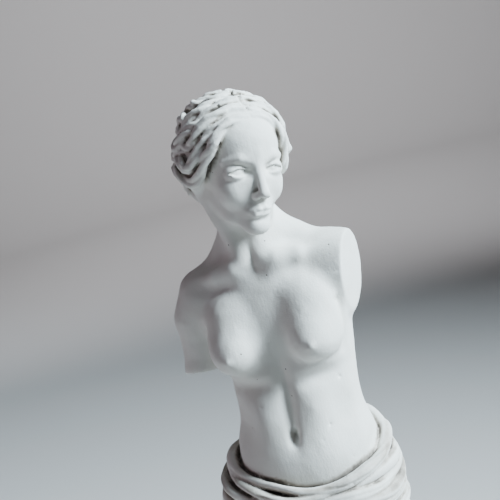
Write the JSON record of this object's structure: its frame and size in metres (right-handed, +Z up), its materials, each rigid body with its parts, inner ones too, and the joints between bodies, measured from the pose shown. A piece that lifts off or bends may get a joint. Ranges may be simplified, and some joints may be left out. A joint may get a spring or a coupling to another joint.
{
  "type": "half-draped aphrodite statuette",
  "caption": "Small cast plaster figure of a standing half-draped woman with lost arms, on a low base. It stands on a shelf as an ornament.",
  "frame": {"origin": "middle of the base's underside, under the middle of the whole statuette's box", "axes": "+Z up; the body faces -Y; +X is on the viewer's right when the viewer faces the figure"},
  "size_m": [0.0688, 0.0674, 0.25],
  "materials": {
    "cast_plaster": "matt off-white cast plaster with a thin grey-brown wash in the hollows of hair and cloth"
  },
  "bodies": {
    "root": {"aphrodite_statue": "cast_plaster"}
  },
  "joints": []
}
